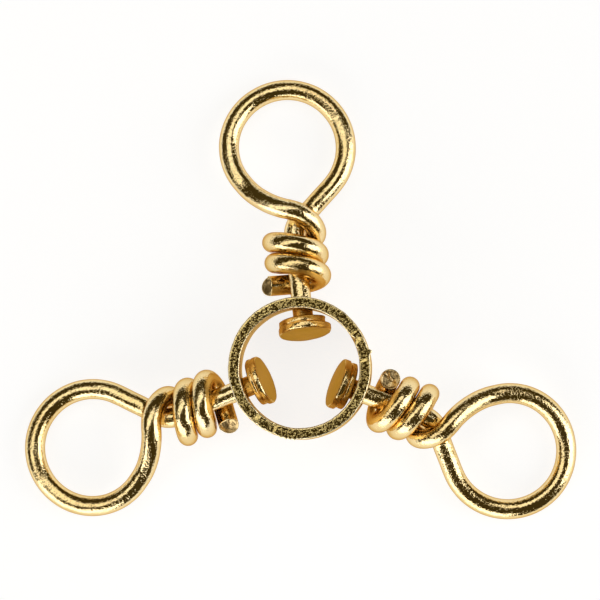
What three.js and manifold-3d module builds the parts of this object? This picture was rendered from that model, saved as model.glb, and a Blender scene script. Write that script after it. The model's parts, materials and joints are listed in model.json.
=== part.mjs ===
// Three-way swivel: a band ring with three radial holes, and in each hole a swivelling eye bent from one
// piece of wire. Every eye has an upset head inside the band, a straight shank through the hole, a teardrop
// loop, and the free end wrapped back down around its own shank.
// Millimetres. +Z is the band's axis. The swivel lies flat on z = 0.
import * as THREE from "three";
import { mergeVertices } from "three/addons/utils/BufferGeometryUtils.js";
import Module from "manifold-3d";

// ---- band ring ----
const RING_OD = 10.3;
const RING_WALL = 0.8;
const RING_WIDTH = 6.44;
const RING_EDGE_CHAMFER = 0.1;
const RING_SEGMENTS = 96;
const HOLE_D = 1.9;
const HOLE_SEGMENTS = 24;

// ---- wire ----
const WIRE_D = 1.47;
const WIRE_SIDES = 12;
const WIRE_STEPS = 150;

// ---- loop, in the eye's own frame: x to the right, y outward along the shank, z up ----
const LOOP_R = 4.25;
const LOOP_X = 0.26;
const LOOP_Y = 11.5;
const LEG_ANGLE = THREE.MathUtils.degToRad(48);
const BEND_R = 1.7;
const LOOP_END_ANGLE = THREE.MathUtils.degToRad(215);
const LEG_DIP = -0.42;
const FAR_RISE = 0.3;
const LOOP_END_RISE = 0.62;

// ---- wrap ----
const WRAP_R = 1.64;
const WRAP_PITCH = 1.54;
const WRAP_START_Y = 5.5;
const WRAP_LEAN = 0.25;
const CROSSING_RISE = 1.0;
const CROSSING_FADE = 1.5;
const WRAP_POINTS_PER_TURN = 16;

// ---- head ----
const HEAD_SEGMENTS = 28;
const HEAD_BACK_STEP = 0.13;
const HEAD_GROOVE_DEPTH = 0.25;
const HEAD_GROOVE_HALF = 0.09;
const HEAD_BACK_ROUND = 0.16;
const HEAD_FACE_ROUND = 0.12;
const HEAD_DOME = 0.1;
const SHANK_INTO_HEAD = 0.5;

// ---- how the three eyes lie ----
const REST_TILT = THREE.MathUtils.degToRad(10.05);
const EYES = [
  {
    name: "upper_wire_eye",
    hole: 89,
    lean: 7.8,
    inset: -0.13,
    headGap: 0.8,
    headR: 1.92,
    headLayer: 0.53,
    turns: 2.57,
    tail: 1.6,
  },
  {
    name: "left_wire_eye",
    hole: 199.5,
    lean: 2.9,
    inset: -0.18,
    headGap: 0.85,
    headR: 1.8,
    headLayer: 0.44,
    turns: 2.62,
    tail: 1.1,
  },
  {
    name: "right_wire_eye",
    hole: 338.6,
    lean: 1.0,
    inset: -0.13,
    headGap: 0.5,
    headR: 1.88,
    headLayer: 0.54,
    turns: 2.77,
    tail: 0.15,
  },
];

const BRASS = { color: 0xd9b45c, metalness: 1, roughness: 0.28 };

const wasm = await Module();
wasm.setup();

function toManifold(geometry) {
  const bare = geometry.index ? geometry.clone() : geometry;
  bare.deleteAttribute("normal");
  bare.deleteAttribute("uv");
  const merged = mergeVertices(bare, 1e-5);
  return new wasm.Manifold(new wasm.Mesh({
    numProp: 3,
    vertProperties: new Float32Array(merged.attributes.position.array),
    triVerts: new Uint32Array(merged.index.array),
  }));
}

function fromManifold(solid) {
  const mesh = solid.getMesh();
  const geometry = new THREE.BufferGeometry();
  geometry.setAttribute("position", new THREE.BufferAttribute(mesh.vertProperties, 3));
  geometry.setIndex(new THREE.BufferAttribute(mesh.triVerts, 1));
  geometry.computeVertexNormals();
  return geometry;
}

function namedMesh(name, geometry) {
  const mesh = new THREE.Mesh(geometry, new THREE.MeshStandardMaterial(BRASS));
  mesh.name = name;
  return mesh;
}

// ---- band ring: a chamfered rectangular section turned about Z, then drilled ----
function ringBlank() {
  const outer = RING_OD / 2;
  const inner = outer - RING_WALL;
  const half = RING_WIDTH / 2;
  const c = RING_EDGE_CHAMFER;
  const section = [
    new THREE.Vector2(inner + c, -half),
    new THREE.Vector2(outer - c, -half),
    new THREE.Vector2(outer, -half + c),
    new THREE.Vector2(outer, half - c),
    new THREE.Vector2(outer - c, half),
    new THREE.Vector2(inner + c, half),
    new THREE.Vector2(inner, half - c),
    new THREE.Vector2(inner, -half + c),
    new THREE.Vector2(inner + c, -half),
  ];
  return new THREE.LatheGeometry(section, RING_SEGMENTS).rotateX(Math.PI / 2);
}

function radialDrill(angle) {
  const reach = RING_OD / 2;
  const drill = new THREE.CylinderGeometry(HOLE_D / 2, HOLE_D / 2, reach, HOLE_SEGMENTS);
  drill.rotateZ(-Math.PI / 2);
  drill.translate(reach - RING_WALL, 0, 0);
  drill.rotateZ(angle);
  return drill;
}

function bandRing() {
  let solid = toManifold(ringBlank());
  for (const eye of EYES) {
    solid = solid.subtract(toManifold(radialDrill(THREE.MathUtils.degToRad(eye.hole))));
  }
  return fromManifold(solid).translate(0, 0, RING_WIDTH / 2);
}

// ---- eye: centreline ----
// The straight leg is tangent to the loop at its lower right and meets the shank's axis at the corner.
function legLine() {
  const direction = new THREE.Vector2(Math.sin(LEG_ANGLE), Math.cos(LEG_ANGLE));
  const tangent = new THREE.Vector2(
    LOOP_X + LOOP_R * Math.cos(LEG_ANGLE),
    LOOP_Y - LOOP_R * Math.sin(LEG_ANGLE),
  );
  const corner = tangent.clone().addScaledVector(direction, -tangent.x / direction.x);
  const setback = BEND_R * Math.tan(LEG_ANGLE / 2);
  return { direction, tangent, corner, setback };
}

function shankAndBend(startY) {
  const { corner, setback } = legLine();
  const bendY = corner.y - setback;
  const points = [];
  const straightSteps = 12;
  for (let i = 0; i < straightSteps; i++) {
    points.push(new THREE.Vector3(0, startY + ((bendY - startY) * i) / straightSteps, 0));
  }
  const bendSteps = 6;
  for (let i = 0; i <= bendSteps; i++) {
    const turn = (LEG_ANGLE * i) / bendSteps;
    points.push(new THREE.Vector3(BEND_R * (1 - Math.cos(turn)), bendY + BEND_R * Math.sin(turn), 0));
  }
  return points;
}

// Height of the leg and loop above the shank's axis: the leg dips under the crossing strand, and the loop
// then climbs towards the side from which the wire comes back over the top.
function loopHeight(t) {
  const dipEnd = 0.12;
  const farSide = 0.5;
  const ease = (a, b, u) => a + (b - a) * (0.5 - 0.5 * Math.cos(Math.PI * u));
  if (t < dipEnd) return ease(LEG_DIP, LEG_DIP * 0.75, t / dipEnd);
  if (t < farSide) return ease(LEG_DIP * 0.75, FAR_RISE, (t - dipEnd) / (farSide - dipEnd));
  return FAR_RISE + (LOOP_END_RISE - FAR_RISE) * ((t - farSide) / (1 - farSide)) ** 2;
}

function legAndLoop() {
  const { direction, tangent, corner, setback } = legLine();
  const start = corner.clone().addScaledVector(direction, setback);
  const points = [];
  const legSteps = 3;
  for (let i = 1; i <= legSteps; i++) {
    const p = start.clone().lerp(tangent, i / legSteps);
    points.push(new THREE.Vector3(p.x, p.y, LEG_DIP));
  }
  const arcSteps = 30;
  for (let i = 1; i <= arcSteps; i++) {
    const t = i / arcSteps;
    const a = -LEG_ANGLE + (LOOP_END_ANGLE + LEG_ANGLE) * t;
    points.push(new THREE.Vector3(
      LOOP_X + LOOP_R * Math.cos(a),
      LOOP_Y + LOOP_R * Math.sin(a),
      loopHeight(t),
    ));
  }
  return points;
}

// The wrap is a left-handed helix whose turns lean over; it starts high where the strand crosses the shank.
function wrapPoint(phi) {
  const rise = 0.5 * CROSSING_RISE * (1 + Math.cos(Math.min(CROSSING_FADE * phi, Math.PI)));
  const y = WRAP_START_Y - (WRAP_PITCH * phi) / (2 * Math.PI) - WRAP_LEAN * Math.sin(phi) + rise;
  return new THREE.Vector3(WRAP_R * Math.sin(phi), y, WRAP_R * Math.cos(phi));
}

// The strand that leaves the loop, climbs, and crosses over the shank to the front of the wrap.
function crossingStrand(from, before) {
  const to = wrapPoint(0);
  const reach = 0.95 * from.distanceTo(to);
  const leave = from.clone().sub(before).setLength(reach / 3);
  const arrive = wrapPoint(0.02).sub(to).setLength(reach / 3);
  const strand = new THREE.CubicBezierCurve3(from, from.clone().add(leave), to.clone().sub(arrive), to);
  return strand.getPoints(7).slice(1);
}

function wrapAndTail(turns, tail) {
  const points = [];
  const count = Math.round(turns * WRAP_POINTS_PER_TURN);
  for (let i = 1; i <= count; i++) {
    points.push(wrapPoint((2 * Math.PI * turns * i) / count));
  }
  const end = points.at(-1);
  const heading = end.clone().sub(points.at(-2)).normalize();
  points.push(end.clone().addScaledVector(heading, tail));
  return points;
}

function headBackY(eye) {
  return -RING_WALL / 2 - eye.headGap + eye.inset;
}

function eyeCentreline(eye) {
  const points = shankAndBend(headBackY(eye) - SHANK_INTO_HEAD);
  points.push(...legAndLoop());
  points.push(...crossingStrand(points.at(-1), points.at(-2)));
  points.push(...wrapAndTail(eye.turns, eye.tail));
  return new THREE.CatmullRomCurve3(points, false, "centripetal");
}

// ---- eye: solids ----
function wireAlong(curve) {
  curve.arcLengthDivisions = 3000;
  const section = new THREE.Shape();
  for (let i = 0; i < WIRE_SIDES; i++) {
    const a = (2 * Math.PI * i) / WIRE_SIDES;
    const x = (WIRE_D / 2) * Math.cos(a);
    const y = (WIRE_D / 2) * Math.sin(a);
    if (i === 0) section.moveTo(x, y);
    else section.lineTo(x, y);
  }
  section.closePath();
  return new THREE.ExtrudeGeometry(section, { steps: WIRE_STEPS, bevelEnabled: false, extrudePath: curve });
}

// Two stacked discs with rounded edges and a groove between them, turned about the shank's axis.
function upsetHead(eye) {
  const backY = headBackY(eye);
  const faceY = backY - 2 * eye.headLayer;
  const grooveY = backY - eye.headLayer;
  const faceR = eye.headR;
  const backR = faceR - HEAD_BACK_STEP;
  const profile = [
    new THREE.Vector2(0, faceY - HEAD_DOME),
    new THREE.Vector2(faceR * 0.55, faceY - HEAD_DOME * 0.75),
    new THREE.Vector2(faceR - HEAD_FACE_ROUND, faceY),
    new THREE.Vector2(faceR, faceY + HEAD_FACE_ROUND),
    new THREE.Vector2(faceR, grooveY - HEAD_GROOVE_HALF),
    new THREE.Vector2(faceR - HEAD_GROOVE_DEPTH, grooveY),
    new THREE.Vector2(backR, grooveY + HEAD_GROOVE_HALF),
    new THREE.Vector2(backR, backY - HEAD_BACK_ROUND),
    new THREE.Vector2(backR - HEAD_BACK_ROUND, backY),
    new THREE.Vector2(0, backY),
  ];
  return new THREE.LatheGeometry(profile, HEAD_SEGMENTS);
}

// From the eye's own frame to its place in the band: tilted down and outward, leaning within its hole.
function eyePlacement(eye) {
  const hole = THREE.MathUtils.degToRad(eye.hole);
  const heading = hole + THREE.MathUtils.degToRad(eye.lean);
  const right = new THREE.Vector3(Math.sin(heading), -Math.cos(heading), 0);
  const outward = new THREE.Vector3(
    Math.cos(heading) * Math.cos(REST_TILT),
    Math.sin(heading) * Math.cos(REST_TILT),
    -Math.sin(REST_TILT),
  );
  const up = new THREE.Vector3().crossVectors(right, outward);
  const middle = (RING_OD - RING_WALL) / 2;
  const pivot = new THREE.Vector3(middle * Math.cos(hole), middle * Math.sin(hole), RING_WIDTH / 2);
  const matrix = new THREE.Matrix4().makeBasis(right, outward, up).setPosition(pivot);
  matrix.multiply(new THREE.Matrix4().makeTranslation(0, -eye.inset, 0));
  return { matrix, pivot, outward };
}

function wireEye(eye) {
  const wire = toManifold(wireAlong(eyeCentreline(eye)));
  const head = toManifold(upsetHead(eye));
  return fromManifold(wire.add(head)).applyMatrix4(eyePlacement(eye).matrix);
}

// ---- assembly ----
function swivel() {
  const group = new THREE.Group();
  group.name = "three_way_swivel";
  group.add(namedMesh("hub_ring", bandRing()));
  for (const eye of EYES) {
    const mesh = namedMesh(eye.name, wireEye(eye));
    const { pivot, outward } = eyePlacement(eye);
    mesh.userData = { pivot, outward };
    group.add(mesh);
  }
  return group;
}

// The origin is the middle of the footprint, at the plane that the swivel rests on.
function setOrigin(group) {
  const box = new THREE.Box3().setFromObject(group, true);
  const middle = box.getCenter(new THREE.Vector3());
  for (const mesh of group.children) {
    mesh.geometry.translate(-middle.x, -middle.y, -box.min.z);
    mesh.userData.pivot?.sub(new THREE.Vector3(middle.x, middle.y, box.min.z));
  }
  return group;
}

export default setOrigin(swivel());
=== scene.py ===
"""Three-way swivel in gold-tone brass: a band ring and three wire eyes, lying flat on a pale surface."""
import json
import math

import bmesh
import bpy
import numpy as np
from mathutils import Matrix, Quaternion, Vector, noise


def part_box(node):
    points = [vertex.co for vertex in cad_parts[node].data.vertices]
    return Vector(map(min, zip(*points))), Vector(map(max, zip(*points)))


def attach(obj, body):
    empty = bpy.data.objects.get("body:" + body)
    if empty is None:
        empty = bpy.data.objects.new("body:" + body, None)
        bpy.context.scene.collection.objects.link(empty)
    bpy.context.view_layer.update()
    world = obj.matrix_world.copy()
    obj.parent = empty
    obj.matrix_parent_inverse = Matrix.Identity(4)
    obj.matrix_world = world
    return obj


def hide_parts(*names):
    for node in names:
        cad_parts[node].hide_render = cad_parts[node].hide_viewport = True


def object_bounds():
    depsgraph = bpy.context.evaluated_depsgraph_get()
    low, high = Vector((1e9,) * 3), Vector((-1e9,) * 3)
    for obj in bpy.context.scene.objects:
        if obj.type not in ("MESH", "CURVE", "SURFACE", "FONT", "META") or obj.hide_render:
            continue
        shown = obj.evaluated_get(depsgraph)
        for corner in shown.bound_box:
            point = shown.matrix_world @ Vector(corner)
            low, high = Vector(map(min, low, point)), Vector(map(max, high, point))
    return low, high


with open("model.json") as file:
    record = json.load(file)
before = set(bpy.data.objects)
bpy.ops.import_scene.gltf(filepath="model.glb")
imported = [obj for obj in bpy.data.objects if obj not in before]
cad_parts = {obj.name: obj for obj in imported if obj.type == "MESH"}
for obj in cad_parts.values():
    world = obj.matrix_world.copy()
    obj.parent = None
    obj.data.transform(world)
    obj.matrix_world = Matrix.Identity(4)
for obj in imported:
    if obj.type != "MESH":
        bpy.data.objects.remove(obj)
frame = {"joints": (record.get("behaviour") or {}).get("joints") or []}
CAD_LO, CAD_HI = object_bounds()

MM = 0.001
SCENE = bpy.context.scene
JOINTS = {j["child"]: j for j in frame["joints"]}

# ---------------------------------------------------------------- dimensions, in millimetres
WIRE_D = 1.47
LOOP_R = 4.25
LOOP_X = 0.26
LOOP_Y = 11.5
LEG_ANGLE = math.radians(48)
BEND_R = 1.7
LOOP_END_ANGLE = math.radians(215)
LEG_DIP = -0.42
FAR_RISE = 0.3
LOOP_END_RISE = 0.62

WRAP_R = 1.64
WRAP_PITCH = 1.54
WRAP_START_Y = 5.5
WRAP_LEAN = 0.25
CROSSING_RISE = 1.0
CROSSING_FADE = 1.5

RING_WALL = 0.8
HOLE_D = 1.9
RING_CORNER = 0.09
RING_STEPS = 480

HEAD_TIP = 0.07
DISC_CORE = 1.2

WIRE_SIDES = 48
WIRE_STEP = 0.09
DRAW_LENGTH = 25
WIRE_ZONE, FACE_ZONE, CUT_ZONE = 0, 1, 2
SAWN_ZONE, EDGE_ZONE, WALL_ZONE = 0, 1, 2

EYES = {
    "upper_wire_eye": dict(body="upper_eye", inset=-0.13, head_gap=0.8, head_r=1.92, layer=0.53, step=0.22,
                           groove=0.17, turns=2.57, tail=1.6, slant=0.6, cup=0.06, shift=-0.14, seed=3),
    "left_wire_eye": dict(body="left_eye", inset=-0.18, head_gap=0.85, head_r=1.83, layer=0.44, step=0.07,
                          groove=0.1, turns=2.62, tail=1.1, slant=0.45, cup=0.3, shift=0.05, seed=11),
    "right_wire_eye": dict(body="right_eye", inset=-0.13, head_gap=0.5, head_r=1.88, layer=0.54, step=0.13,
                           groove=0.2, turns=2.77, tail=0.15, slant=0.08, cup=0.05, shift=-0.06, seed=23),
}

# Marks on the band's upper end: (degrees from +X, size in millimetres, width in radians).
OUTER_EDGE_MARKS = [(13, 0.24, 0.036)]
OUTER_EDGE_MARKS += [(a, 0.09, 0.018) for a in (255, 259, 262.5, 266)]
OUTER_EDGE_MARKS += [(a, -0.07, 0.022) for a in (226, 233, 241, 249)]
INNER_EDGE_MARKS = [(28, 0.17, 0.05), (19, 0.07, 0.03)]
FACE_CHIPS = [(28, 0.1, 0.05), (34, 0.06, 0.03), (8, 0.07, 0.025), (228, 0.08, 0.04), (247, 0.07, 0.03)]
CHIP_REACH = 0.45

# ---------------------------------------------------------------- studio
OVERHEAD_HEIGHT = 1.0
OVERHEAD_COLOUR = (1.0, 0.96, 0.88)
ROOM_COLOUR = (0.05, 0.037, 0.012, 1)
FLOOR_HALF = 1.5
FLOOR_GAP = 0.02
FLOOR_GLOW = 0.82

CAMERA_DISTANCE = 0.5
CAMERA_TILT = math.radians(2.2)
LOOK_OFFSET = (-0.01, -0.07)
LOOK_HEIGHT = 1.6
PICTURE_FILL = 0.92
SENSOR = 36

# ---------------------------------------------------------------- colours, linear
WIRE_DARK = (0.84, 0.63, 0.29)
WIRE_LIGHT = (0.94, 0.76, 0.42)
RING_DARK = (0.6, 0.45, 0.17)
RING_LIGHT = (0.84, 0.67, 0.28)


# ---------------------------------------------------------------- node helpers
def new_material(name):
    mat = bpy.data.materials.new(name)
    mat.use_nodes = True
    nodes = mat.node_tree.nodes
    return mat, nodes, mat.node_tree.links, nodes["Principled BSDF"]


def object_coords(nodes):
    return nodes.new("ShaderNodeTexCoord").outputs["Object"]


def noise_node(nodes, links, coords, scale, detail=3.0, rough=0.55):
    n = nodes.new("ShaderNodeTexNoise")
    n.inputs["Scale"].default_value = scale
    n.inputs["Detail"].default_value = detail
    n.inputs["Roughness"].default_value = rough
    links.new(coords, n.inputs["Vector"])
    return n.outputs["Fac"]


def ramp(nodes, links, fac, stops):
    r = nodes.new("ShaderNodeValToRGB")
    els = r.color_ramp.elements
    while len(els) < len(stops):
        els.new(0.5)
    for e, (pos, colour) in zip(els, stops):
        e.position = pos
        e.color = (*colour, 1) if len(colour) == 3 else colour
    links.new(fac, r.inputs["Fac"])
    return r.outputs["Color"]


def grey(v):
    return (v, v, v)


def product(nodes, links, a, b):
    m = nodes.new("ShaderNodeMath")
    m.operation = "MULTIPLY"
    links.new(a, m.inputs[0])
    links.new(b, m.inputs[1])
    return m.outputs[0]


def bump(nodes, links, height, distance, strength=1.0, below=None):
    b = nodes.new("ShaderNodeBump")
    b.inputs["Distance"].default_value = distance
    b.inputs["Strength"].default_value = strength
    links.new(height, b.inputs["Height"])
    if below is not None:
        links.new(below, b.inputs["Normal"])
    return b.outputs["Normal"]


def gold_base(name, dark, light, rough_lo, rough_hi, edge=(0.62, 0.4, 0.2)):
    """Gold-tone metal with slow patches of colour and a haze that varies its gloss."""
    mat, nodes, links, bsdf = new_material(name)
    coords = object_coords(nodes)
    bsdf.inputs["Metallic"].default_value = 1.0
    bsdf.inputs["Specular Tint"].default_value = (*edge, 1)
    patches = noise_node(nodes, links, coords, 260, 3.0)
    links.new(ramp(nodes, links, patches, [(0.3, dark), (0.7, light)]), bsdf.inputs["Base Color"])
    haze = noise_node(nodes, links, coords, 1400, 4.0)
    gloss = ramp(nodes, links, haze, [(0.3, grey(rough_lo)), (0.75, grey(rough_hi))])
    links.new(gloss, bsdf.inputs["Roughness"])
    return mat, nodes, links, bsdf, coords


def drawn_wire():
    """Bright plated wire: lengthwise draw lines, a fine hard grain in patches, and small handling dents."""
    mat, nodes, links, bsdf, coords = gold_base("gold_wire", WIRE_DARK, WIRE_LIGHT, 0.05, 0.11)
    lines = nodes.new("ShaderNodeAttribute")
    lines.attribute_name = "draw"
    drawn = noise_node(nodes, links, lines.outputs["Vector"], 7.0, 1.0)
    grain = noise_node(nodes, links, coords, 7400, 1.0, 0.6)
    grain = ramp(nodes, links, grain, [(0.46, grey(0.0)), (0.66, grey(1.0))])
    where = noise_node(nodes, links, coords, 620, 3.0)
    worn = ramp(nodes, links, where, [(0.36, grey(0.5)), (0.6, grey(1.0))])
    patchy = product(nodes, links, grain, worn)
    dents = noise_node(nodes, links, coords, 2300, 2.0, 0.5)
    low = bump(nodes, links, dents, 0.000007)
    low = bump(nodes, links, drawn, 0.000006, below=low)
    links.new(bump(nodes, links, patchy, 0.000008, below=low), bsdf.inputs["Normal"])
    return mat


def face_painted_shade():
    """The upset head's face: flat and duller than the wire, and browner: painted shade standing in for the
    shaded floor and ring wall that the face reflects.
    """
    # painted shade: these brown base colours darken the face to stand in for the shaded floor it reflects
    mat, nodes, links, bsdf, coords = gold_base(
        "gold_head_face", (0.58, 0.36, 0.12), (0.69, 0.43, 0.16), 0.3, 0.42, edge=(0.6, 0.4, 0.2))
    pits = noise_node(nodes, links, coords, 4200, 3.0, 0.65)
    links.new(bump(nodes, links, pits, 0.000012), bsdf.inputs["Normal"])
    return mat


def sheared_cut():
    """The wire's cut end: torn across, duller and browner than the wire."""
    mat, nodes, links, bsdf, coords = gold_base(
        "gold_cut", (0.4, 0.26, 0.1), (0.85, 0.65, 0.34), 0.26, 0.42)
    tears = noise_node(nodes, links, coords, 1700, 2.0, 0.6)
    links.new(bump(nodes, links, tears, 0.00006), bsdf.inputs["Normal"])
    return mat


def sawn_face():
    """The band's end faces: a dull mirror, peppered with small pits and crossed by scratches."""
    mat, nodes, links, bsdf, coords = gold_base("gold_ring", RING_DARK, RING_LIGHT, 0.04, 0.08)
    pits = noise_node(nodes, links, coords, 7200, 1.0, 0.6)
    pits = ramp(nodes, links, pits, [(0.53, grey(0.0)), (0.68, grey(1.0))])
    stretch = nodes.new("ShaderNodeMapping")
    stretch.inputs["Rotation"].default_value = (0, 0, 0.6)
    stretch.inputs["Scale"].default_value = (1.0, 0.3, 1.0)
    links.new(coords, stretch.inputs["Vector"])
    scratches = noise_node(nodes, links, stretch.outputs["Vector"], 6000, 1.0, 0.6)
    thin = ramp(nodes, links, scratches, [(0.62, grey(0.0)), (0.68, grey(1.0)), (0.74, grey(0.0))])
    low = bump(nodes, links, pits, 0.0000115)
    links.new(bump(nodes, links, thin, 0.000004, below=low), bsdf.inputs["Normal"])
    return mat


def nicked_edge_painted_highlight():
    """The band's rounded edges: nicked and a little rough, with a lighter base colour, a painted highlight
    that makes them shine as bright lines.
    """
    # painted highlight: the near-white base colours brighten the edges beyond what the lamps give the gold
    mat, nodes, links, bsdf, coords = gold_base(
        "gold_ring_edge_painted_highlight", (0.9, 0.74, 0.4), (0.98, 0.87, 0.6), 0.16, 0.34)
    nicks = noise_node(nodes, links, coords, 4000, 3.0, 0.7)
    links.new(bump(nodes, links, nicks, 0.00006), bsdf.inputs["Normal"])
    return mat


def rolled_wall():
    """The band's inner and outer walls: satin, with a fine tooth."""
    mat, nodes, links, bsdf, coords = gold_base(
        "gold_ring_wall", (0.74, 0.5, 0.18), (0.88, 0.65, 0.28), 0.4, 0.55, edge=(0.6, 0.4, 0.18))
    tooth = noise_node(nodes, links, coords, 5200, 3.0, 0.6)
    links.new(bump(nodes, links, tooth, 0.00004), bsdf.inputs["Normal"])
    return mat


# ---------------------------------------------------------------- wire eye: centreline
def eased(a, b, u):
    return a + (b - a) * (0.5 - 0.5 * math.cos(math.pi * u))


def leg_line():
    direction = np.array((math.sin(LEG_ANGLE), math.cos(LEG_ANGLE)))
    tangent = np.array((LOOP_X + LOOP_R * math.cos(LEG_ANGLE), LOOP_Y - LOOP_R * math.sin(LEG_ANGLE)))
    corner = tangent - direction * tangent[0] / direction[0]
    return direction, tangent, corner, BEND_R * math.tan(LEG_ANGLE / 2)


def loop_height(t):
    dip_end, far_side = 0.12, 0.5
    if t < dip_end:
        return eased(LEG_DIP, LEG_DIP * 0.75, t / dip_end)
    if t < far_side:
        return eased(LEG_DIP * 0.75, FAR_RISE, (t - dip_end) / (far_side - dip_end))
    return FAR_RISE + (LOOP_END_RISE - FAR_RISE) * ((t - far_side) / (1 - far_side)) ** 2


def wrap_point(phi):
    rise = 0.5 * CROSSING_RISE * (1 + math.cos(min(CROSSING_FADE * phi, math.pi)))
    y = WRAP_START_Y - WRAP_PITCH * phi / (2 * math.pi) - WRAP_LEAN * math.sin(phi) + rise
    return np.array((WRAP_R * math.sin(phi), y, WRAP_R * math.cos(phi)))


def unit(v):
    return v / np.linalg.norm(v)


def guide_points(start_y, turns, tail):
    direction, tangent, corner, setback = leg_line()
    bend_y = corner[1] - setback
    pts = [(0, y, 0) for y in np.linspace(start_y, bend_y, 12, endpoint=False)]
    for turn in np.linspace(0, LEG_ANGLE, 7):
        pts.append((BEND_R * (1 - math.cos(turn)), bend_y + BEND_R * math.sin(turn), 0))
    leg_start = corner + direction * setback
    for u in (1 / 3, 2 / 3, 1):
        p = leg_start + (tangent - leg_start) * u
        pts.append((p[0], p[1], LEG_DIP))
    for t in np.linspace(0, 1, 31)[1:]:
        a = -LEG_ANGLE + (LOOP_END_ANGLE + LEG_ANGLE) * t
        pts.append((LOOP_X + LOOP_R * math.cos(a), LOOP_Y + LOOP_R * math.sin(a), loop_height(t)))
    pts = [np.array(p, float) for p in pts]
    start, end = pts[-1], wrap_point(0)
    reach = 0.95 * np.linalg.norm(end - start)
    c1 = start + unit(pts[-1] - pts[-2]) * reach / 3
    c2 = end - unit(wrap_point(0.02) - end) * reach / 3
    for t in np.linspace(0, 1, 8)[1:]:
        s = 1 - t
        pts.append(s**3 * start + 3 * s * s * t * c1 + 3 * s * t * t * c2 + t**3 * end)
    count = round(turns * 16)
    for i in range(1, count + 1):
        pts.append(wrap_point(2 * math.pi * turns * i / count))
    pts.append(pts[-1] + unit(pts[-1] - pts[-2]) * tail)
    return np.array(pts)


def smooth_through(points, step):
    """Centripetal Catmull-Rom curve through the guide points, as evenly spaced points."""
    dense = []
    for i in range(len(points) - 1):
        p1, p2 = points[i], points[i + 1]
        p0 = points[i - 1] if i else 2 * p1 - p2
        p3 = points[i + 2] if i + 2 < len(points) else 2 * p2 - p1
        d0, d1, d2 = (max(np.linalg.norm(b - a) ** 0.5, 1e-4) for a, b in ((p0, p1), (p1, p2), (p2, p3)))
        m1 = ((p1 - p0) / d0 - (p2 - p0) / (d0 + d1) + (p2 - p1) / d1) * d1
        m2 = ((p2 - p1) / d1 - (p3 - p1) / (d1 + d2) + (p3 - p2) / d2) * d1
        for s in np.linspace(0, 1, 20, endpoint=False):
            s2, s3 = s * s, s**3
            dense.append((2 * s3 - 3 * s2 + 1) * p1 + (s3 - 2 * s2 + s) * m1
                         + (3 * s2 - 2 * s3) * p2 + (s3 - s2) * m2)
    dense = np.array(dense + [points[-1]])
    run = np.concatenate(([0], np.cumsum(np.linalg.norm(np.diff(dense, axis=0), axis=1))))
    at = np.linspace(0, run[-1], int(run[-1] / step) + 1)
    return np.stack([np.interp(at, run, dense[:, k]) for k in range(3)], axis=1)


# ---------------------------------------------------------------- wire eye: mesh
def arc(cy, cr, r, a0, a1, n):
    """Points (y, radius) on a quarter-round of the head's outline."""
    return [(cy + r * math.sin(a), cr + r * math.cos(a)) for a in np.linspace(a0, a1, n)]


def head_profile(eye, back_y):
    """The head's outline from the middle of its face to the shank, as (y, radius, groove share).

    It also returns how many of its points are on the flat of the face.
    """
    face_r, layer = eye["head_r"], eye["layer"]
    back_r = face_r - eye["step"]
    face_y, groove_y = back_y - 2 * layer, back_y - layer
    q = math.pi / 2
    flat = [(face_y - 0.1, 0.02), (face_y - 0.095, 0.5), (face_y - 0.08, 1.0), (face_y - 0.06, 1.4)]
    front = arc(face_y + 0.13, face_r - 0.19, 0.19, -q * 0.85, 0, 6)
    front += arc(groove_y - 0.14, face_r - 0.09, 0.09, 0, q * 0.8, 5)
    back = arc(groove_y + 0.14, back_r - 0.09, 0.09, -q * 0.8, 0, 5)
    back += arc(back_y - 0.2, back_r - 0.2, 0.2, 0, q, 7)
    r, f = WIRE_D / 2, 0.2
    fillet = [(back_y + f - f * math.cos(a), r + f - f * math.sin(a)) for a in np.linspace(0, q, 6)]
    outline = [(y, r, 0) for y, r in flat + front]
    outline += [(groove_y - 0.02, face_r - 0.05, 1), (groove_y + 0.02, face_r - 0.06, 1)]
    outline += [(y, r, 0) for y, r in back + [(back_y, 1.2)] + fillet]
    return outline, len(flat) + 1


def transported(points):
    """A frame at each point that doesn't twist about the curve."""
    tangents = np.gradient(points, axis=0)
    tangents /= np.linalg.norm(tangents, axis=1)[:, None]
    side = np.array((1.0, 0, 0))
    sides = []
    for t in tangents:
        side = unit(side - t * np.dot(side, t))
        sides.append(side)
    sides = np.array(sides)
    return tangents, sides, np.cross(tangents, sides)


def ripple(p, seed, scale):
    return noise.noise(Vector((p[0] * scale + seed, p[1] * scale - seed, p[2] * scale + 0.7 * seed)))


def wire_swell(q, seed):
    """The wire's slight unevenness, in millimetres."""
    return 0.006 * ripple(q, seed, 0.9) + 0.0025 * ripple(q, seed, 3.1)


def disc_swell(q, out, groove, eye):
    """How far a disc of the head bulges, in millimetres, less the groove between the discs."""
    seed = eye["seed"]
    lumps = 0.09 * ripple(out, seed, 1.1) + 0.03 * ripple(q, seed, 2.6) - 0.01
    return lumps - groove * eye["groove"] * (1 + 0.9 * ripple(out, seed + 2, 1.6))


def settle_head(q, y, r, back_y, eye):
    """Sets the ring-side disc a little to one side, then tips the whole head up."""
    if r > DISC_CORE and y > back_y - eye["layer"]:
        q[0] += eye["shift"] * min(1, (back_y - y) / 0.15)
    q[1] += HEAD_TIP * q[2] * (back_y - y) / (2 * eye["layer"])


def eye_stations(outline, line):
    """Every ring of the skin from the face to the cut, as centres, radii, groove shares, sides and ups."""
    count = len(outline) - 1
    tangents, sides, ups = transported(line)
    centres = np.vstack((np.array([(0, y, 0) for y, _, _ in outline[:-1]]), line))
    radii = [r for _, r, _ in outline[:-1]] + [WIRE_D / 2] * len(line)
    grooves = [g for _, _, g in outline[:-1]] + [0] * len(line)
    sides = np.vstack((np.repeat(sides[:1], count, 0), sides))
    ups = np.vstack((np.repeat(ups[:1], count, 0), ups))
    return centres, radii, grooves, sides, ups, tangents[-1]


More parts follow.
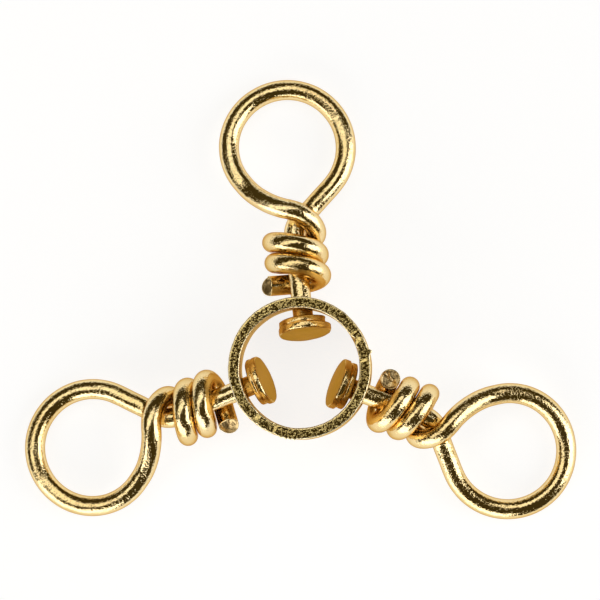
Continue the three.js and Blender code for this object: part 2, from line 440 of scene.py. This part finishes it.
def swept_eye(eye):
    """One closed skin: the head's outline on the shank's axis, then the wire along its centreline."""
    back_y = -RING_WALL / 2 - eye["head_gap"] + eye["inset"]
    outline, face_rings = head_profile(eye, back_y)
    line = smooth_through(guide_points(outline[-1][0], eye["turns"], eye["tail"]), WIRE_STEP)
    head_rings = len(outline) - 1
    centres, radii, grooves, sides, ups, heading = eye_stations(outline, line)
    verts, draw = [], []
    for i, (p, r) in enumerate(zip(centres, radii)):
        for k in range(WIRE_SIDES):
            a = 2 * math.pi * k / WIRE_SIDES
            out = sides[i] * math.cos(a) + ups[i] * math.sin(a)
            q = p + out * r
            swell = wire_swell(q, eye["seed"])
            if i < head_rings and r > DISC_CORE:
                swell += disc_swell(q, out, grooves[i], eye)
            q = q + out * swell
            if i < head_rings:
                settle_head(q, p[1], r, back_y, eye)
            verts.append(q * MM)
            draw.append((math.cos(a), math.sin(a), (i - head_rings) * WIRE_STEP / DRAW_LENGTH))
    faces, zones = [], []
    for i in range(len(centres) - 1):
        for k in range(WIRE_SIDES):
            a, b = i * WIRE_SIDES + k, i * WIRE_SIDES + (k + 1) % WIRE_SIDES
            faces.append((a, a + WIRE_SIDES, b + WIRE_SIDES, b))
            zones.append(FACE_ZONE if i < face_rings else WIRE_ZONE)
    faces.append(tuple(range(WIRE_SIDES)))
    zones.append(FACE_ZONE)
    return verts, draw, faces, zones, (centres[-1], heading, sides[-1], ups[-1])


def cut_end(skin, eye):
    """Adds the sheared end: a rounded rim, then a slanted, hollowed face with a step across it."""
    verts, draw, faces, zones, (point, tangent, side, up) = skin
    prev = len(verts) - WIRE_SIDES
    rims = [(0.99, 0.03, 0), (0.95, 0.055, 0), (0.88, 0.05, 0.3)]
    rims += [(r, 0.02, 1) for r in np.linspace(0.8, 0.02, 12)]
    for share, ahead, torn in rims:
        for k in range(WIRE_SIDES):
            a = 2 * math.pi * k / WIRE_SIDES
            out = side * math.cos(a) + up * math.sin(a)
            q = point + out * (WIRE_D / 2) * share
            slant = -eye["slant"] * (out[2] * share + 0.35)
            step = 0.07 * math.tanh(9 * (math.cos(a - 0.9 * eye["seed"]) * share - 0.1))
            torn_up = 0.13 * abs(ripple(q, eye["seed"] + 5, 1.9))
            hollow = eye["cup"] * (1 - share * share)
            verts.append((q + tangent * (ahead + slant + torn * (step + torn_up - 0.06 - hollow))) * MM)
            draw.append((math.cos(a), math.sin(a), 0))
        start = len(verts) - WIRE_SIDES
        for k in range(WIRE_SIDES):
            n = (k + 1) % WIRE_SIDES
            faces.append((prev + k, start + k, start + n, prev + n))
            zones.append(CUT_ZONE if torn else WIRE_ZONE)
        prev = start
    faces.append(tuple(reversed(range(prev, prev + WIRE_SIDES))))
    zones.append(CUT_ZONE)


def eye_frame(joint):
    """The eye's own frame from its joint: x to the right, y outward along the shank, z up."""
    outward = Vector(joint["axis"]).normalized()
    heading = Vector((outward.x, outward.y, 0)).normalized()
    right = Vector((heading.y, -heading.x, 0))
    up = right.cross(outward)
    m = Matrix((right, outward, up)).transposed().to_4x4()
    m.translation = Vector(joint["pos_m"])
    return m


def mesh_object(name, verts, faces, materials):
    mesh = bpy.data.meshes.new(name)
    mesh.from_pydata([tuple(v) for v in verts], [], faces)
    mesh.shade_smooth()
    for material in materials:
        mesh.materials.append(material)
    obj = bpy.data.objects.new(name, mesh)
    SCENE.collection.objects.link(obj)
    return obj


def make_eye(node, eye, materials):
    skin = swept_eye(eye)
    cut_end(skin, eye)
    verts, draw, faces, zones, _ = skin
    obj = mesh_object(node + "_wire", verts, faces, materials)
    obj.data.polygons.foreach_set("material_index", zones)
    lines = obj.data.attributes.new("draw", "FLOAT_VECTOR", "POINT")
    lines.data.foreach_set("vector", np.array(draw).ravel())
    place = eye_frame(JOINTS[eye["body"]]) @ Matrix.Translation((0, -eye["inset"] * MM, 0))
    obj.data.transform(place)
    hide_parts(node)
    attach(obj, eye["body"])


# ---------------------------------------------------------------- band ring
def gaussian(x, centre, width):
    d = (x - centre + math.pi) % (2 * math.pi) - math.pi
    return math.exp(-((d / width) ** 2))


def marks(angle, spots):
    """The summed size, in millimetres, of the marks that reach this angle."""
    return sum(size * gaussian(angle, math.radians(at), width) for at, size, width in spots)


def ring_section(outer, inner, low, high):
    """The band's outline as (radius, height, tag) points, each corner rounded.

    The tags are lo, uo, ui and li for the corners (lower or upper, outer or inner), o and i for the
    walls, and top and bottom for the end faces.
    """
    c = RING_CORNER
    q = math.pi / 2
    pts = []
    corners = [(outer - c, low + c, -q, "lo"), (outer - c, high - c, 0, "uo"),
               (inner + c, high - c, q, "ui"), (inner + c, low + c, 2 * q, "li")]
    for r, z, a0, tag in corners:
        for a in np.linspace(a0, a0 + q, 5):
            pts.append((r + c * math.cos(a), z + c * math.sin(a), tag))
        if tag == "lo":
            pts += [(outer, z, "o") for z in np.linspace(low + 4 * c, high - 4 * c, 9)]
        if tag == "uo":
            pts += [(r, high, "top") for r in np.linspace(outer - 2.4 * c, inner + 2.4 * c, 6)]
        if tag == "ui":
            pts += [(inner, z, "i") for z in np.linspace(high - 4 * c, low + 4 * c, 9)]
        if tag == "li":
            pts += [(r, low, "bottom") for r in np.linspace(inner + 2.4 * c, outer - 2.4 * c, 6)]
    return pts


def ring_zone(a, b):
    """The material zone of the strip between two tagged points of the outline."""
    if "o" in (a, b) or "i" in (a, b):
        return WALL_ZONE
    if "top" in (a, b) or "bottom" in (a, b):
        return SAWN_ZONE
    return EDGE_ZONE


def worn_point(angle, r, z, tag, inner):
    """One outline point with its waviness, burrs, nicks and chips, as (radius, height)."""
    ca, sa = math.cos(angle), math.sin(angle)
    wave = 0.018 * ripple((ca * 5, sa * 5, z), 4, 0.8)
    if tag in ("uo", "ui"):
        wave += 0.02 * ripple((ca * r, sa * r, z), 9, 2.6)
    if tag == "uo":
        r += marks(angle, OUTER_EDGE_MARKS)
    if tag == "ui":
        r += marks(angle, INNER_EDGE_MARKS)
    if tag in ("top", "uo", "ui"):
        chipped = math.exp(-(((r - inner) / CHIP_REACH) ** 2)) * marks(angle, FACE_CHIPS)
        z += 0.003 * ripple((ca * r, sa * r, 0), 14, 3.4) - 0.003 - chipped
    return r + wave, z


def make_ring(materials):
    lo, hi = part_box("hub_ring")
    centre = (lo + hi) / 2
    outer = (hi.x - lo.x) / 2 / MM
    inner = outer - RING_WALL
    section = ring_section(outer, inner, lo.z / MM, hi.z / MM)
    verts, faces, zones = [], [], []
    count = len(section)
    for s in range(RING_STEPS):
        a = 2 * math.pi * s / RING_STEPS
        t = (s + 1) % RING_STEPS
        for k, (r, z, tag) in enumerate(section):
            r, z = worn_point(a, r, z, tag, inner)
            verts.append((centre.x + r * math.cos(a) * MM, centre.y + r * math.sin(a) * MM, z * MM))
            n = (k + 1) % count
            faces.append((s * count + k, t * count + k, t * count + n, s * count + n))
            zones.append(ring_zone(tag, section[n][2]))
    ring = mesh_object("band_ring", verts, faces, materials)
    ring.data.polygons.foreach_set("material_index", zones)
    for joint in frame["joints"]:
        drill_hole(ring, centre, Vector(joint["pos_m"]))
    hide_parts("hub_ring")
    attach(ring, "ring")


def drill_hole(ring, centre, pivot):
    """Cuts the radial hole that an eye's shank turns in."""
    radial = Vector((pivot.x - centre.x, pivot.y - centre.y, 0)).normalized()
    bm = bmesh.new()
    radius = HOLE_D / 2 * MM
    bmesh.ops.create_cone(bm, cap_ends=True, segments=64, radius1=radius, radius2=radius, depth=3 * MM)
    mesh = bpy.data.meshes.new("drill")
    bm.to_mesh(mesh)
    bm.free()
    drill = bpy.data.objects.new("drill", mesh)
    SCENE.collection.objects.link(drill)
    turn = radial.to_track_quat("Z", "Y").to_matrix().to_4x4()
    drill.matrix_world = Matrix.Translation(pivot) @ turn
    cut = ring.modifiers.new("cut", "BOOLEAN")
    cut.object = drill
    cut.solver = "EXACT"
    bpy.context.view_layer.update()
    depsgraph = bpy.context.evaluated_depsgraph_get()
    done = bpy.data.meshes.new_from_object(ring.evaluated_get(depsgraph))
    ring.modifiers.clear()
    ring.data = done
    bpy.data.objects.remove(drill)


# ---------------------------------------------------------------- floor, lights, camera
def make_floor():
    mat, nodes, links, bsdf = new_material("pale_floor")
    coords = object_coords(nodes)
    tone = noise_node(nodes, links, coords, 8, 2.0)
    links.new(ramp(nodes, links, tone, [(0.3, grey(0.27)), (0.7, grey(0.29))]), bsdf.inputs["Base Color"])
    bsdf.inputs["Roughness"].default_value = 0.9
    bsdf.inputs["Emission Color"].default_value = (1, 1, 1, 1)
    bsdf.inputs["Emission Strength"].default_value = FLOOR_GLOW
    mesh = bpy.data.meshes.new("floor")
    z = CAD_LO.z - FLOOR_GAP * MM
    corners = [(-FLOOR_HALF, -FLOOR_HALF, z), (FLOOR_HALF, -FLOOR_HALF, z)]
    corners += [(FLOOR_HALF, FLOOR_HALF, z), (-FLOOR_HALF, FLOOR_HALF, z)]
    mesh.from_pydata(corners, [], [(0, 1, 2, 3)])
    mesh.materials.append(mat)
    floor = bpy.data.objects.new("floor", mesh)
    SCENE.collection.objects.link(floor)


def area_light(name, place, turn, width, height, power, colour):
    data = bpy.data.lights.new(name, "AREA")
    data.shape = "RECTANGLE"
    data.size, data.size_y = width, height
    data.energy = power
    data.color = colour
    lamp = bpy.data.objects.new(name, data)
    SCENE.collection.objects.link(lamp)
    lamp.location = place
    lamp.rotation_mode = "QUATERNION"
    lamp.rotation_quaternion = turn


def softbox(name, azimuth, zenith, distance, width, height, power):
    """A soft light at a compass angle (from +X) and an angle off the zenith, facing the swivel."""
    a, z = math.radians(azimuth), math.radians(zenith)
    place = Vector((math.cos(a) * math.sin(z), math.sin(a) * math.sin(z), math.cos(z))) * distance
    area_light(name, place, place.to_track_quat("Z", "Y"), width, height, power, (1, 1, 1))


def overhead_panel(turn, along, across, length, width, power):
    """A long level panel overhead, turned about Z and set to one side of the zenith."""
    a = math.radians(turn)
    run = Vector((math.cos(a), math.sin(a), 0))
    side = Vector((-math.sin(a), math.cos(a), 0))
    place = run * along + side * across + Vector((0, 0, OVERHEAD_HEIGHT))
    area_light("overhead", place, Quaternion((0, 0, 1), a), length, width, power, OVERHEAD_COLOUR)


def make_lights():
    overhead_panel(35, -0.27, 0.405, 2.1, 0.55, 4.7)
    softbox("right", -4, 66, 1.0, 0.78, 1.1, 6.6)
    softbox("lower_left", 242, 76, 1.0, 1.35, 0.8, 8)
    world = bpy.data.worlds.new("studio")
    world.use_nodes = True
    world.node_tree.nodes["Background"].inputs["Color"].default_value = ROOM_COLOUR
    SCENE.world = world


def make_camera():
    """Looks down on the swivel, a little off square, from below and to the right."""
    data = bpy.data.cameras.new("camera")
    cam = bpy.data.objects.new("camera", data)
    SCENE.collection.objects.link(cam)
    middle = (CAD_LO + CAD_HI) / 2 + Vector((*LOOK_OFFSET, 0)) * MM
    middle.z = LOOK_HEIGHT * MM
    lean = math.sin(CAMERA_TILT) * 0.7
    away = Vector((lean, -lean, math.cos(CAMERA_TILT)))
    right = Vector((1, 0, 0))
    right = (right - away * right.dot(away)).normalized()
    cam.matrix_world = Matrix((right, away.cross(right), away)).transposed().to_4x4()
    cam.location = middle + away * CAMERA_DISTANCE
    data.sensor_width = SENSOR
    data.lens = SENSOR * CAMERA_DISTANCE * PICTURE_FILL / (CAD_HI.x - CAD_LO.x)
    data.clip_start, data.clip_end = 0.01, 10
    SCENE.camera = cam


# ---------------------------------------------------------------- build
make_ring([sawn_face(), nicked_edge_painted_highlight(), rolled_wall()])
eye_materials = [drawn_wire(), face_painted_shade(), sheared_cut()]
for node_name, spec in EYES.items():
    make_eye(node_name, spec, eye_materials)
make_floor()
make_lights()
make_camera()
SCENE.view_settings.view_transform = "Standard"
